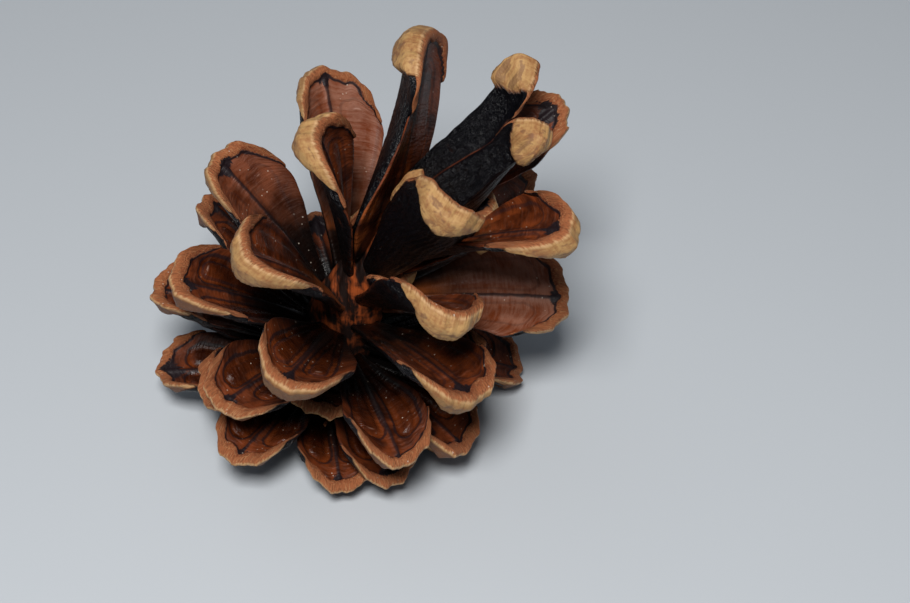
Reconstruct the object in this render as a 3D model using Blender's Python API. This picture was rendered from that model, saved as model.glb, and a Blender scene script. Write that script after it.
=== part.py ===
"""An open, dry pine cone that stands on its base, with its axis curving over to one side.

Metres, +Z up. The origin is the middle of the flat stalk scar, on the surface that the cone stands on.
One woody body: a tapered axis with the seed scales set round it on a spiral, all grown together.
"""

import math
import random

import bmesh
import bpy
from mathutils import Matrix, Vector

MM = 0.001

# The axis leaves the stalk nearly upright and leans further over with height, on one arc.
AXIS_LENGTH = 31.6 * MM
AXIS_LEANS = (math.radians(5.7), math.radians(41.7))
AXIS_BEARING = math.radians(7.6)
AXIS_RADII = (3.4 * MM, 4.6 * MM, 4.2 * MM, 3.2 * MM, 1.8 * MM)
STALK_DEPTH = 3.0 * MM
AXIS_STEPS = 14

# The spiral of seed scales, from the widest ring at the base to the tip.
SCALE_COUNT = 50
DIVERGENCE = math.radians(137.508)
FIRST_BEARING = math.radians(276.8)
ROOT_HEIGHTS = (2.2 * MM, 7.6 * MM, 12.6 * MM, 20.4 * MM, 31.2 * MM)
TIP_CENTRES = (3.0 * MM, 36.3 * MM)
TIP_RADII = (19.0 * MM, 20.4 * MM, 21.9 * MM, 18.0 * MM, 5.2 * MM)
TIP_HEIGHTS = (4.5 * MM, 8.2 * MM, 17.8 * MM, 39.1 * MM, 52.1 * MM)
HALF_WIDTHS = (4.7 * MM, 5.0 * MM, 5.3 * MM, 5.3 * MM, 3.3 * MM)
BOW = 1.5 * MM

# Scales that stand off the rule: further turn round the axis in degrees, share of their length, lift in mm.
MISPLACED = {
    0: (0, 0.96, -1.0),
    2: (-4, 1.06, -2.0),
    3: (0, 1.0, -1.2),
    5: (-4, 1.04, 0.3),
    6: (0, 1.0, -0.4),
    10: (0, 0.83, -3.5),
    11: (0, 0.90, 0.0),
    15: (2, 1.06, 1.8),
    16: (2, 1.0, 1.2),
    18: (-2, 0.98, -1.5),
    19: (-5, 1.16, 0.5),
    20: (0, 1.0, 2.0),
    21: (7, 1.0, 0.5),
    23: (2, 1.06, 1.6),
    24: (0, 0.84, 0.0),
    26: (-6, 1.10, 0.4),
    28: (0, 1.04, 1.0),
    29: (-8, 1.08, 1.2),
    31: (-2, 1.20, -1.0),
    32: (0, 1.04, 0.0),
    33: (-2, 1.03, 0.4),
    34: (3, 1.0, 1.0),
    36: (4, 0.98, -0.3),
    39: (8, 1.0, 3.3),
    41: (-4, 1.06, 2.5),
    42: (2, 1.16, 0.0),
    47: (-12, 0.90, 3.9),
    48: (24, 1.0, 0.0),
    49: (0, 1.16, 0.0),
}

# Scales that dried twisted, in further degrees at their tip, and scales of another width, as a share.
TWISTED = {28: -20, 31: -6, 32: 34, 33: -12, 34: -6, 36: -12, 41: 21, 42: 50}
WIDENED = {21: 0.90, 31: 1.10, 34: 0.94, 36: 0.95, 41: 2.00, 48: 1.20, 49: 0.95}

# Scales that stayed short, as a share of their length.
STUNTED = {
    13: 0.55,
    17: 0.75,
    25: 0.62,
    30: 0.50,
    37: 0.20,
    38: 0.24,
    40: 0.55,
    43: 0.50,
    44: 0.45,
    45: 0.50,
    46: 0.50,
}

# Scales near the tip that are flatter or more keeled than the rule's: 0 for flat and 1 for fully keeled.
KEELED = {41: 0.70, 42: 0.0, 48: 0.0}

# The small closed scales packed under the base, round the stalk.
BASAL_COUNT = 10
BASAL_TIP_RADII = (8.0 * MM, 16.0 * MM)
BASAL_TIP_HEIGHTS = (2.0 * MM, 2.6 * MM)
BASAL_ROOT_HEIGHTS = (1.0 * MM, 3.0 * MM)
BASAL_HALF_WIDTH = 3.6 * MM
BASAL_CUP = 0.6 * MM

# One scale: widths as shares of its half width, thicknesses in metres, at even steps from root to tip.
PADDLE_SHAPE = (0.26, 0.40, 0.62, 0.87, 1.00, 0.88)
SLENDER_SHAPE = (0.60, 1.00, 0.92, 0.68, 0.52, 0.70)
SLENDER_FROM = 0.74
BLADE_THICKNESS = 1.2 * MM
KEEL = 2.4 * MM
EDGE_SHARE = 0.62
RIM_DEPTHS = (2.3 * MM, 3.6 * MM)
RIM_START = 0.80
RIM_RISE = 0.5 * MM
CUP = 2.0 * MM
CUP_LOST = 0.6
ROUNDING = (0.19, 0.16)
UMBO = 0.6 * MM
SUNK_ROOT = 1.2 * MM

# How far one scale departs from the next.
SEED = 11
BEARING_SPREAD = math.radians(2.0)
TWIST_SPREAD = math.radians(8.0)
REACH_SPREAD = 0.03
RISE_SPREAD = 0.6 * MM
WIDTH_SPREAD = 0.07

# Where a scale's sections lie along it, and its section's points across it.
SECTIONS = (0.0, 0.32, 0.62, 0.80, 0.88, 1.0)
UPPER_ACROSS = (-1.0, -0.80, -0.30, 0.30, 0.80, 1.0)
LOWER_ACROSS = (0.85, 0.0, -0.85)

BLOCK_SIZE = 100 * MM
BARK_BROWN = (0.30, 0.12, 0.055, 1.0)


def clear_scene():
    for thing in list(bpy.data.objects):
        bpy.data.objects.remove(thing)


def smooth(values, share):
    """The value at a share of the way through evenly spaced ones, on a smooth curve through them all."""
    last = len(values) - 1
    place = min(max(share, 0.0), 1.0) * last
    index = min(int(place), last - 1)
    local = place - index
    before = values[max(index - 1, 0)]
    start = values[index]
    end = values[index + 1]
    after = values[min(index + 2, last)]
    slope_in = (end - before) / 2
    slope_out = (after - start) / 2
    return (
        start * (2 * local**3 - 3 * local**2 + 1)
        + slope_in * (local**3 - 2 * local**2 + local)
        + end * (3 * local**2 - 2 * local**3)
        + slope_out * (local**3 - local**2)
    )


def ease(low, high, value):
    """0 below low, 1 above high, and a smooth rise between them."""
    share = min(max((value - low) / (high - low), 0.0), 1.0)
    return share * share * (3 - 2 * share)


def blend(pair, share):
    return pair[0] + (pair[1] - pair[0]) * share


def axis_frame(height):
    """The frame at a distance along the axis: Z runs up the axis, which bends on an arc in its bearing's plane."""
    foot_lean, tip_lean = AXIS_LEANS
    bend = (tip_lean - foot_lean) / AXIS_LENGTH
    angle = foot_lean + bend * height
    sideways = (math.cos(foot_lean) - math.cos(angle)) / bend
    upwards = (math.sin(angle) - math.sin(foot_lean)) / bend
    bearing = Matrix.Rotation(AXIS_BEARING, 4, "Z")
    place = bearing @ Vector((sideways, 0, upwards))
    turn = bearing @ Matrix.Rotation(angle, 4, "Y") @ bearing.inverted()
    return Matrix.Translation(place) @ turn


def axis_body(collection):
    """The woody axis and stalk stub, as a tube that follows the arc and tapers to the tip."""
    curve = bpy.data.curves.new("axis", "CURVE")
    curve.dimensions = "3D"
    curve.bevel_depth = 1.0 * MM
    curve.bevel_resolution = 3
    curve.use_fill_caps = True
    spline = curve.splines.new("POLY")
    spline.points.add(AXIS_STEPS)
    for index, point in enumerate(spline.points):
        share = index / AXIS_STEPS
        height = -STALK_DEPTH + (AXIS_LENGTH + STALK_DEPTH) * share
        point.co = (*axis_frame(height).translation, 1.0)
        point.radius = smooth(AXIS_RADII, share) / MM
    tube = bpy.data.objects.new("axis_curve", curve)
    collection.objects.link(tube)
    graph = bpy.context.evaluated_depsgraph_get()
    mesh = bpy.data.meshes.new_from_object(tube.evaluated_get(graph))
    bpy.data.objects.remove(tube)
    shape = bmesh.new()
    shape.from_mesh(mesh)
    bmesh.ops.remove_doubles(shape, verts=shape.verts, dist=0.01 * MM)
    bmesh.ops.recalc_face_normals(shape, faces=shape.faces)
    shape.to_mesh(mesh)
    shape.free()
    body = bpy.data.objects.new("cone", mesh)
    collection.objects.link(body)
    return body


class Scale:
    """One seed scale: where it grows from, where its tip is, and how wide and thick it is."""

    def __init__(self, root, tip, half_width, rim_depth, cup, slender, twist, grown=1.0):
        foot = axis_frame(root)
        end = grown * (foot.inverted() @ tip)
        self.frame = foot @ Matrix.Rotation(math.atan2(end.y, end.x), 4, "Z")
        self.start = Vector((SUNK_ROOT, 0, 0))
        self.end = Vector((math.hypot(end.x, end.y), 0, end.z))
        along = (self.end - self.start).normalized()
        self.middle = (self.start + self.end) / 2 + BOW * Vector((-along.z, 0, along.x))
        self.half_width = half_width
        self.rim_depth = rim_depth
        self.cup = cup
        self.slender = slender
        self.twist = twist

    def midrib(self, along):
        """(point, direction) on the arched line from root to tip."""
        left = 1 - along
        point = self.start * left**2 + self.middle * 2 * left * along + self.end * along**2
        way = (self.middle - self.start) * left + (self.end - self.middle) * along
        return point, way.normalized()

    def width_at(self, along):
        paddle = smooth(PADDLE_SHAPE, along)
        slender = smooth(SLENDER_SHAPE, along)
        return self.half_width * blend((paddle, slender), self.slender)

    def upper_at(self, along, across):
        """Height of the upper face over the midrib: cupped across, with a raised rim near the tip."""
        cupped = self.cup * ease(0.1, 0.8, along) * across**2
        rim = RIM_RISE * ease(RIM_START - 0.02, RIM_START + 0.06, along)
        rounded = 2 * RIM_RISE * ease(0.93, 1.0, along)
        return cupped + rim - rounded

    def lower_at(self, along, across):
        """Depth of the lower face under the midrib: a thin blade that swells into the rim's outer face."""
        swell = ease(RIM_START - 0.03, RIM_START + 0.07, along) * (1 - 0.45 * ease(0.9, 1.0, along))
        keel = KEEL * self.slender * smooth(SLENDER_SHAPE, along)
        blade = BLADE_THICKNESS + keel * (1 - abs(across))
        thickness = blend((blade, self.rim_depth), swell)
        side = blend((1.0, EDGE_SHARE), across**2)
        cupped = self.cup * ease(0.1, 0.8, along) * across**2
        return cupped - thickness * side

    def point(self, along, across, height):
        """A point of the scale in the cone's frame. Lines across the scale curve back at their sides."""
        back = blend(ROUNDING, self.slender) * along**2 * (1 - math.sqrt(1 - across**2))
        place, way = self.midrib(along - back)
        over = Vector((0, 1, 0))
        normal = Vector((-way.z, 0, way.x))
        turn = Matrix.Rotation(self.twist * along, 3, way)
        offset = over * (self.width_at(along) * across) + normal * height
        return self.frame @ (place + turn @ offset)

    def section(self, along):
        """The closed ring of points round the scale at one place along it."""
        upper = [self.point(along, v, self.upper_at(along, v)) for v in UPPER_ACROSS]
        lower = [self.point(along, v, self.lower_at(along, v)) for v in LOWER_ACROSS]
        return upper + lower

    def umbo_point(self):
        """The small boss in the middle of the scale's outer face."""
        place, way = self.midrib(1.0)
        middle = (self.upper_at(1.0, 0) + self.lower_at(1.0, 0)) / 2
        normal = Vector((-way.z, 0, way.x))
        return self.frame @ (place + way * UMBO + normal * middle)

    def build(self, name, collection):
        shape = bmesh.new()
        rings = [[shape.verts.new(p) for p in self.section(along)] for along in SECTIONS]
        count = len(rings[0])
        for ring, following in zip(rings, rings[1:]):
            for index in range(count):
                after = (index + 1) % count
                shape.faces.new((ring[index], ring[after], following[after], following[index]))
        shape.faces.new(list(reversed(rings[0])))
        boss = shape.verts.new(self.umbo_point())
        for index in range(count):
            shape.faces.new((rings[-1][index], rings[-1][(index + 1) % count], boss))
        bmesh.ops.triangulate(shape, faces=shape.faces)
        bmesh.ops.recalc_face_normals(shape, faces=shape.faces)
        mesh = bpy.data.meshes.new(name)
        shape.to_mesh(mesh)
        shape.free()
        thing = bpy.data.objects.new(name, mesh)
        collection.objects.link(thing)
        return thing


def tip_point(centre, bearing, reach, rise, stretch=1.0):
    """Where a scale's tip is: out from the axis at one height along it, and up from there."""
    start = Vector((SUNK_ROOT, 0, 0))
    end = start + stretch * (Vector((reach, 0, rise - centre)) - start)
    return axis_frame(centre) @ Matrix.Rotation(bearing, 4, "Z") @ end


def seed_scale(index, draw):
    """A scale of the main spiral, by its place from the base to the tip."""
    share = index / (SCALE_COUNT - 1)
    turn, stretch, lift = MISPLACED.get(index, (0.0, 1.0, 0.0))
    bearing = FIRST_BEARING + index * DIVERGENCE + math.radians(turn)
    width = smooth(HALF_WIDTHS, share) * WIDENED.get(index, 1.0)
    twist = math.radians(TWISTED.get(index, 0.0))
    slender = KEELED.get(index, ease(SLENDER_FROM, 1.0, share))
    reach = smooth(TIP_RADII, share) * (1 + draw.uniform(-REACH_SPREAD, REACH_SPREAD))
    rise = smooth(TIP_HEIGHTS, share) + lift * MM + draw.uniform(-RISE_SPREAD, RISE_SPREAD)
    bearing = bearing + draw.uniform(-BEARING_SPREAD, BEARING_SPREAD)
    return Scale(
        root=smooth(ROOT_HEIGHTS, share),
        tip=tip_point(blend(TIP_CENTRES, share), bearing, reach, rise, stretch),
        half_width=width * (1 + draw.uniform(-WIDTH_SPREAD, WIDTH_SPREAD)),
        rim_depth=blend(RIM_DEPTHS, share),
        cup=CUP * (1 - CUP_LOST * slender),
        slender=slender,
        twist=twist + draw.uniform(-TWIST_SPREAD, TWIST_SPREAD),
        grown=STUNTED.get(index, 1.0),
    )


def basal_scale(index, draw):
    """A small scale under the base. The spiral runs on downwards from the first seed scale."""
    share = 1 - index / BASAL_COUNT
    root = blend(BASAL_ROOT_HEIGHTS, share)
    reach = blend(BASAL_TIP_RADII, share) * (1 + draw.uniform(-REACH_SPREAD, REACH_SPREAD))
    bearing = FIRST_BEARING - index * DIVERGENCE
    return Scale(
        root=root,
        tip=tip_point(root, bearing, reach, blend(BASAL_TIP_HEIGHTS, share)),
        half_width=BASAL_HALF_WIDTH * blend((0.7, 1.0), share),
        rim_depth=BLADE_THICKNESS,
        cup=BASAL_CUP,
        slender=0.0,
        twist=0.0,
    )


def new_collection(name):
    collection = bpy.data.collections.new(name)
    bpy.context.scene.collection.children.link(collection)
    return collection


def grow_together(body, scales):
    """Joins every scale to the axis."""
    union = body.modifiers.new("grown_together", "BOOLEAN")
    union.operation = "UNION"
    union.operand_type = "COLLECTION"
    union.collection = scales
    union.solver = "MANIFOLD"


def stand_flat(body, cutters):
    """Trims the stalk and the lowest scale tips on the plane that the cone stands on."""
    bpy.ops.mesh.primitive_cube_add(size=BLOCK_SIZE, location=(0, 0, -BLOCK_SIZE / 2))
    block = bpy.context.object
    block.name = "standing_plane"
    block.hide_render = True
    block.display_type = "WIRE"
    for holder in list(block.users_collection):
        holder.objects.unlink(block)
    cutters.objects.link(block)
    trim = body.modifiers.new("standing_plane", "BOOLEAN")
    trim.operation = "DIFFERENCE"
    trim.object = block
    trim.solver = "MANIFOLD"


def connected_vertices(start):
    """Every vertex that edges join to this one."""
    found = {start}
    waiting = [start]
    while waiting:
        for edge in waiting.pop().link_edges:
            for vertex in edge.verts:
                if vertex not in found:
                    found.add(vertex)
                    waiting.append(vertex)
    return found


def keep_outer_surface(mesh):
    """Keeps the largest closed surface, which fills the hollows that fusing sealed and drops loose scraps."""
    shape = bmesh.new()
    shape.from_mesh(mesh)
    left = set(shape.verts)
    largest = set()
    while left:
        surface = connected_vertices(next(iter(left)))
        left -= surface
        if len(surface) > len(largest):
            largest = surface
    bmesh.ops.delete(shape, geom=[v for v in shape.verts if v not in largest], context="VERTS")
    shape.to_mesh(mesh)
    shape.free()


def fuse(body, scales, cutters):
    """Makes the axis and its scales one closed body that stands flat, and removes the loose scales."""
    grow_together(body, scales)
    stand_flat(body, cutters)
    graph = bpy.context.evaluated_depsgraph_get()
    joined = bpy.data.meshes.new_from_object(body.evaluated_get(graph))
    keep_outer_surface(joined)
    body.modifiers.clear()
    body.data = joined
    for thing in list(scales.objects):
        bpy.data.objects.remove(thing)


def wood(name, colour, roughness):
    material = bpy.data.materials.new(name)
    material.use_nodes = True
    shader = material.node_tree.nodes["Principled BSDF"]
    shader.inputs["Base Color"].default_value = colour
    shader.inputs["Roughness"].default_value = roughness
    shader.inputs["Metallic"].default_value = 0.0
    return material


def main():
    clear_scene()
    cone_parts = new_collection("pine_cone")
    loose_scales = new_collection("loose_scales")
    cutters = new_collection("cutters")
    draw = random.Random(SEED)
    body = axis_body(cone_parts)
    for index in range(SCALE_COUNT):
        seed_scale(index, draw).build(f"seed_scale_{index:02d}", loose_scales)
    for index in range(1, BASAL_COUNT + 1):
        basal_scale(index, draw).build(f"basal_scale_{index:02d}", loose_scales)
    fuse(body, loose_scales, cutters)
    body.data.materials.clear()
    body.data.materials.append(wood("bark_brown", BARK_BROWN, 0.6))


main()
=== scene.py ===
"""The looks of an open, dry pine cone that stands on its base, with its axis curving over to one side.

Metres, +Z up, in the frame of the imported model. Each scale repeats the solid's own rule at a finer mesh, with
the raised rim, seed wing imprints, median ridge, wrinkled back and scalloped edge that the solid leaves out.
"""

import logging
import math
import random
from dataclasses import dataclass, field
from enum import Enum
from typing import Union

import bpy
import numpy as np
from mathutils import Matrix, Vector


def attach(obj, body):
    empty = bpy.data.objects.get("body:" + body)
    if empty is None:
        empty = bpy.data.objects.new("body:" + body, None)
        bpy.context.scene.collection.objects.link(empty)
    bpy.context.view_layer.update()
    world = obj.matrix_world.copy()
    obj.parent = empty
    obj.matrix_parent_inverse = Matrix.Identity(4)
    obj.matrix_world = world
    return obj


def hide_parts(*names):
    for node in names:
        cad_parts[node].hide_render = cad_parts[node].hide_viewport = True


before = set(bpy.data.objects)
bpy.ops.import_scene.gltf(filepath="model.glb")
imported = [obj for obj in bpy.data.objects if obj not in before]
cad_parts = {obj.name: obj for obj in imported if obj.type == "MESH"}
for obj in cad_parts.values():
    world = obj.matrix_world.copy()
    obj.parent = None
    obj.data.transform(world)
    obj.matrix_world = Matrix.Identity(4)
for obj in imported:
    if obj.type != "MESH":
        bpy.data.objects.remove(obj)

MM = 0.001
NODE = "cone"
BODY = "root"
SEED_SCALES = 50
SPIRAL_SEED = 11

Pair = tuple[float, float]
Triple = tuple[float, float, float]
Series = tuple[float, ...]
Colour = Triple
Grid = np.ndarray
Number = Union[float, Grid]

log = logging.getLogger("pine_cone")


def smooth(values: Series, share: Number) -> Grid:
    """Reads evenly spaced values at a share of the way through them, on a smooth curve through them all.

    Args:
        values: The evenly spaced values, first to last.
        share: How far through them to read, from 0 to 1.

    Returns:
        The value at each share.
    """
    known = np.asarray(values, float)
    last = len(known) - 1
    place = np.clip(share, 0.0, 1.0) * last
    index = np.minimum(place.astype(int) if isinstance(place, np.ndarray) else int(place), last - 1)
    local = place - index
    before = known[np.maximum(index - 1, 0)]
    start = known[index]
    end = known[index + 1]
    after = known[np.minimum(index + 2, last)]
    slope_in = (end - before) / 2
    slope_out = (after - start) / 2
    return (
        start * (2 * local**3 - 3 * local**2 + 1)
        + slope_in * (local**3 - 2 * local**2 + local)
        + end * (3 * local**2 - 2 * local**3)
        + slope_out * (local**3 - local**2)
    )


def ease(low: float, high: float, value: Number) -> Number:
    """0 below low, 1 above high, and a smooth rise between them."""
    share = np.clip((value - low) / (high - low), 0.0, 1.0)
    return share * share * (3 - 2 * share)


def blend(pair: tuple, share: Number) -> Number:
    """The mix of two values, the first at share 0 and the second at share 1."""
    return pair[0] + (pair[1] - pair[0]) * share


def bump(value: Number, centre: float, width: float) -> Number:
    """A rounded hump of height 1 at centre, about as wide as width to each side."""
    return np.exp(-(((value - centre) / width) ** 2))


class Ripple:
    """A smooth random line: a sum of sine waves whose phases are drawn once."""

    def __init__(self, draw: random.Random, waves: Series) -> None:
        """Draws a phase and a strength for each wave.

        Args:
            draw: The source of random numbers.
            waves: How many times each wave repeats over a length of 1.
        """
        self.waves = [(wave, draw.uniform(0, math.tau), draw.uniform(0.6, 1.0)) for wave in waves]

    def __call__(self, share: Number) -> Number:
        """The line's height, within about 1 of 0, at a share of its length."""
        total = sum(strength for _, _, strength in self.waves)
        return sum(s * np.sin(math.tau * w * share + phase) for w, phase, s in self.waves) / total


@dataclass(frozen=True)
class Axis:
    """The woody axis. It leaves the stalk nearly upright and leans further over with height, on one arc."""

    length: float = 31.6 * MM
    leans: Pair = (math.radians(5.7), math.radians(41.7))
    bearing: float = math.radians(7.6)
    radii: Series = (3.4 * MM, 4.6 * MM, 4.2 * MM, 3.2 * MM, 1.8 * MM)
    stalk_depth: float = 3.0 * MM
    scar_depth: float = 0.36 * MM
    steps: int = 150
    sides: int = 120
    furrow: float = 0.12 * MM
    furrows: int = 13
    furrow_twist: float = 60.0
    furrow_wander: float = 2.0
    furrow_waves: Series = (1.0, 2.3, 4.1)
    seed: int = 5
    scar_rings: int = 14
    closing_from: float = 0.95
    least_closing: float = 0.02

    def frame(self, height: float) -> Matrix:
        """Finds the frame at a distance along the axis, whose Z runs up the axis.

        Args:
            height: The distance along the axis from the stalk scar.

        Returns:
            The frame's matrix.
        """
        foot_lean, tip_lean = self.leans
        bend = (tip_lean - foot_lean) / self.length
        angle = foot_lean + bend * height
        sideways = (math.cos(foot_lean) - math.cos(angle)) / bend
        upwards = (math.sin(angle) - math.sin(foot_lean)) / bend
        bearing = Matrix.Rotation(self.bearing, 4, "Z")
        place = bearing @ Vector((sideways, 0, upwards))
        turn = bearing @ Matrix.Rotation(angle, 4, "Y") @ bearing.inverted()
        return Matrix.Translation(place) @ turn

    def tip_point(
        self, centre: float, bearing: float, reach: float, rise: float, stretch: float = 1.0
    ) -> Vector:
        """Finds where a scale's tip is.

        Args:
            centre: The height along the axis that the tip is measured from.
            bearing: Its bearing round the axis.
            reach: How far out from the axis it is.
            rise: How far along the axis it is from the stalk scar.
            stretch: The share of its length that it grew to.

        Returns:
            The tip in the row frame.
        """
        start = Vector((FORM.sunk_root, 0, 0))
        end = start + stretch * (Vector((reach, 0, rise - centre)) - start)
        return self.frame(centre) @ Matrix.Rotation(bearing, 4, "Z") @ end

    def radius(self, height: float) -> float:
        """The axis's radius at a distance along it."""
        return float(smooth(self.radii, (height + self.stalk_depth) / (self.length + self.stalk_depth)))

    def ring(self, height: float, size: float, line: Ripple) -> list[Vector]:
        """Finds the points of one ring round the axis, with its bark's furrows.

        Args:
            height: The ring's distance along the axis.
            size: The ring's radius as a share of the axis's own.
            line: The line that the furrows wander along.

        Returns:
            The ring's points in the row frame.
        """
        place = self.frame(height)
        share = height / self.length
        twist = self.furrow_twist * share + self.furrow_wander * line(share)
        points = []
        for side in range(self.sides):
            angle = math.tau * side / self.sides
            radius = size * (self.radius(height) + self.furrow * math.sin(angle * self.furrows + twist))
            points.append(place @ Vector((radius * math.cos(angle), radius * math.sin(angle), 0)))
        return points

    def build(self) -> "Shell":
        """Builds the axis from its flat scar to its closed tip.

        Returns:
            The axis as one closed surface.
        """
        line = Ripple(random.Random(self.seed), self.furrow_waves)
        foot = -self.scar_depth
        rings = [self.ring(foot, (index + 1) / self.scar_rings, line) for index in range(self.scar_rings)]
        for index in range(1, self.steps + 1):
            height = foot + (self.length - foot) * index / self.steps
            rounded = math.sqrt(1 - ease(self.closing_from, 1.0, index / self.steps) ** 2)
            rings.append(self.ring(height, max(rounded, self.least_closing), line))
        ends = [self.frame(foot).translation, self.frame(self.length).translation]
        points = np.array([tuple(point) for ring in (*rings, ends) for point in ring])
        scar, tip = len(points) - 2, len(points) - 1
        top = scar - self.sides
        faces = []
        for side in range(self.sides):
            after = (side + 1) % self.sides
            for low in range(0, top, self.sides):
                high = low + self.sides
                faces.append((low + side, low + after, high + after, high + side))
            faces += [(scar, after, side), (tip, top + side, top + after)]
        shell = Shell()
        shell.add(points, faces, {"along_mm": points[:, 2] / MM, "across_mm": points[:, 0] / MM})
        return shell


@dataclass
class Shell:
    """A growing closed mesh, with its numbers at each point."""

    points: list[Grid] = field(default_factory=list)
    faces: list[tuple[int, ...]] = field(default_factory=list)
    marks: list[dict[str, Grid]] = field(default_factory=list)
    count: int = 0

    def add(self, points: Grid, faces: list[tuple[int, ...]], marks: dict[str, Grid]) -> None:
        """Adds one closed surface.

        Args:
            points: Its points, a row for each.
            faces: Its faces, by their points' numbers.
            marks: Numbers at each point, by name.
        """
        self.points.append(points)
        self.faces += [tuple(index + self.count for index in face) for face in faces]
        self.marks.append(marks)
        self.count += len(points)

    def to_object(self, name: str, material: bpy.types.Material) -> bpy.types.Object:
        """Makes the mesh object, standing on the floor plane.

        Args:
            name: The piece's name.
            material: Its finish.

        Returns:
            The object, linked to the scene.
        """
        points = np.vstack(self.points)
        points[:, 2] = np.maximum(points[:, 2], 0.0)
        mesh = bpy.data.meshes.new(name)
        mesh.from_pydata(points.tolist(), [], self.faces)
        for mark in self.marks[0]:
            values = np.concatenate([marks[mark] for marks in self.marks]).astype(np.float32)
            mesh.attributes.new(mark, "FLOAT", "POINT").data.foreach_set("value", values)
        mesh.shade_smooth()
        mesh.materials.append(material)
        thing = bpy.data.objects.new(name, mesh)
        bpy.context.scene.collection.objects.link(thing)
        return thing


class Imprint(Enum):
    """How strongly the seed wings marked a scale's inner face: the depth of the marks' relief."""

    DEEP = 1.0
    PLAIN = 0.55
    FAINT = 0.2


@dataclass(frozen=True)
class ScaleForm:
    """What all scales share: widths as shares of the half width, at even steps from root to tip, and depths.

    A pair that ends in _from says where along the scale a form begins and where it is full.
    """

    paddle: Series = (0.26, 0.40, 0.62, 0.87, 1.00, 0.88)
    slender: Series = (0.60, 1.00, 0.92, 0.68, 0.52, 0.70)
    unevenness: float = 0.045
    uneven_from: Pair = (0.3, 0.7)
    bow: float = 1.5 * MM
    blade: float = 1.2 * MM
    keel: float = 2.4 * MM
    cup_from: Pair = (0.1, 0.8)
    edge_share: float = 0.62
    edge_level: float = 0.45
    rounding: Pair = (0.19, 0.16)
    sunk_root: float = 1.2 * MM
    front_bulge: float = 0.45 * MM
    front_thinned: Pair = (0.70, 0.30)
    thinned_until: Pair = (0.45, 0.75)
    thinned_depth: float = 2.4 * MM
    front_round: float = 0.70 * MM
    side_round: float = 0.45 * MM
    squareness: float = 0.50
    seed: int = 1000
    rim_widths: Pair = (1.25 * MM, 1.85 * MM)
    rim_lost: float = 0.2
    rim_rise: float = 0.5 * MM
    rim_slope: float = 0.22 * MM
    rim_soft: Pair = (0.10 * MM, 0.22 * MM)
    rim_waves: float = 0.14
    notch: float = 0.30
    notch_width: float = 0.13
    rim_corner: float = 0.7 * MM
    side_fade: float = 0.90
    side_fade_until: float = 0.92
    groove: float = 0.08 * MM
    groove_place: float = 0.26 * MM
    groove_width: float = 0.28 * MM
    inner_from: Pair = (0.12, 0.34)
    ridge: float = 0.30 * MM
    ridge_width: float = 0.30 * MM
    wing_places: Pair = (0.40, 0.54)
    wing_sizes: Pair = (0.28, 0.40)
    wing_ends: Pair = (-1.3 * MM, 0.3 * MM)
    wing_depth: float = 0.24 * MM
    wing_edge: Pair = (-0.30 * MM, 0.05 * MM)
    wing_gap: float = 1.1 * MM
    wing_bend: float = 0.35 * MM
    nub_lengths: Series = (-3.0 * MM, -3.0 * MM, 0.0, 0.4 * MM)
    nub_depth: float = 0.3 * MM
    tongue_rise: float = 0.36 * MM
    tongue_edge: Pair = (-1.05 * MM, -0.65 * MM)
    warp: float = 0.16 * MM
    warp_skew: float = 0.3
    warp_from: Pair = (0.2, 0.6)
    outer_face: Pair = (2.6 * MM, 4.7 * MM)
    outer_bow: float = 1.6
    outer_narrowing: float = 0.8
    outer_waves: float = 0.3 * MM
    shoulder: float = 0.7 * MM
    lump: float = 0.10 * MM
    wrinkle: float = 0.075 * MM
    wrinkle_pitch: float = 0.12 * MM
    wrinkle_wander: float = 5.0
    wrinkle_from: Pair = (0.1, 0.3)
    patch_sizes: Pair = (0.4 * MM, 2.2 * MM)
    patch_slopes: Pair = (0.8, -2.0)
    crenulation: float = 0.42 * MM
    corner_rate: float = 1.6
    jut_shares: Triple = (0.9, 0.8, 0.30)
    jut_from: Pair = (0.70, 0.98)
    jut_lost: float = 0.5
    stations: tuple[int, int, int] = (16, 36, 10)
    columns: int = 61


FORM = ScaleForm()


@dataclass(frozen=True)
class Places:
    """A grid of places on a scale: shares from root to tip, angles and shares across, and half widths."""

    along: Grid
    turn: Grid
    across: Grid
    half: Grid


# The part of a scale's grid where the lower face has points of its own. Round it the two faces share theirs.
INSIDE = (slice(None, -1), slice(1, -1))


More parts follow.
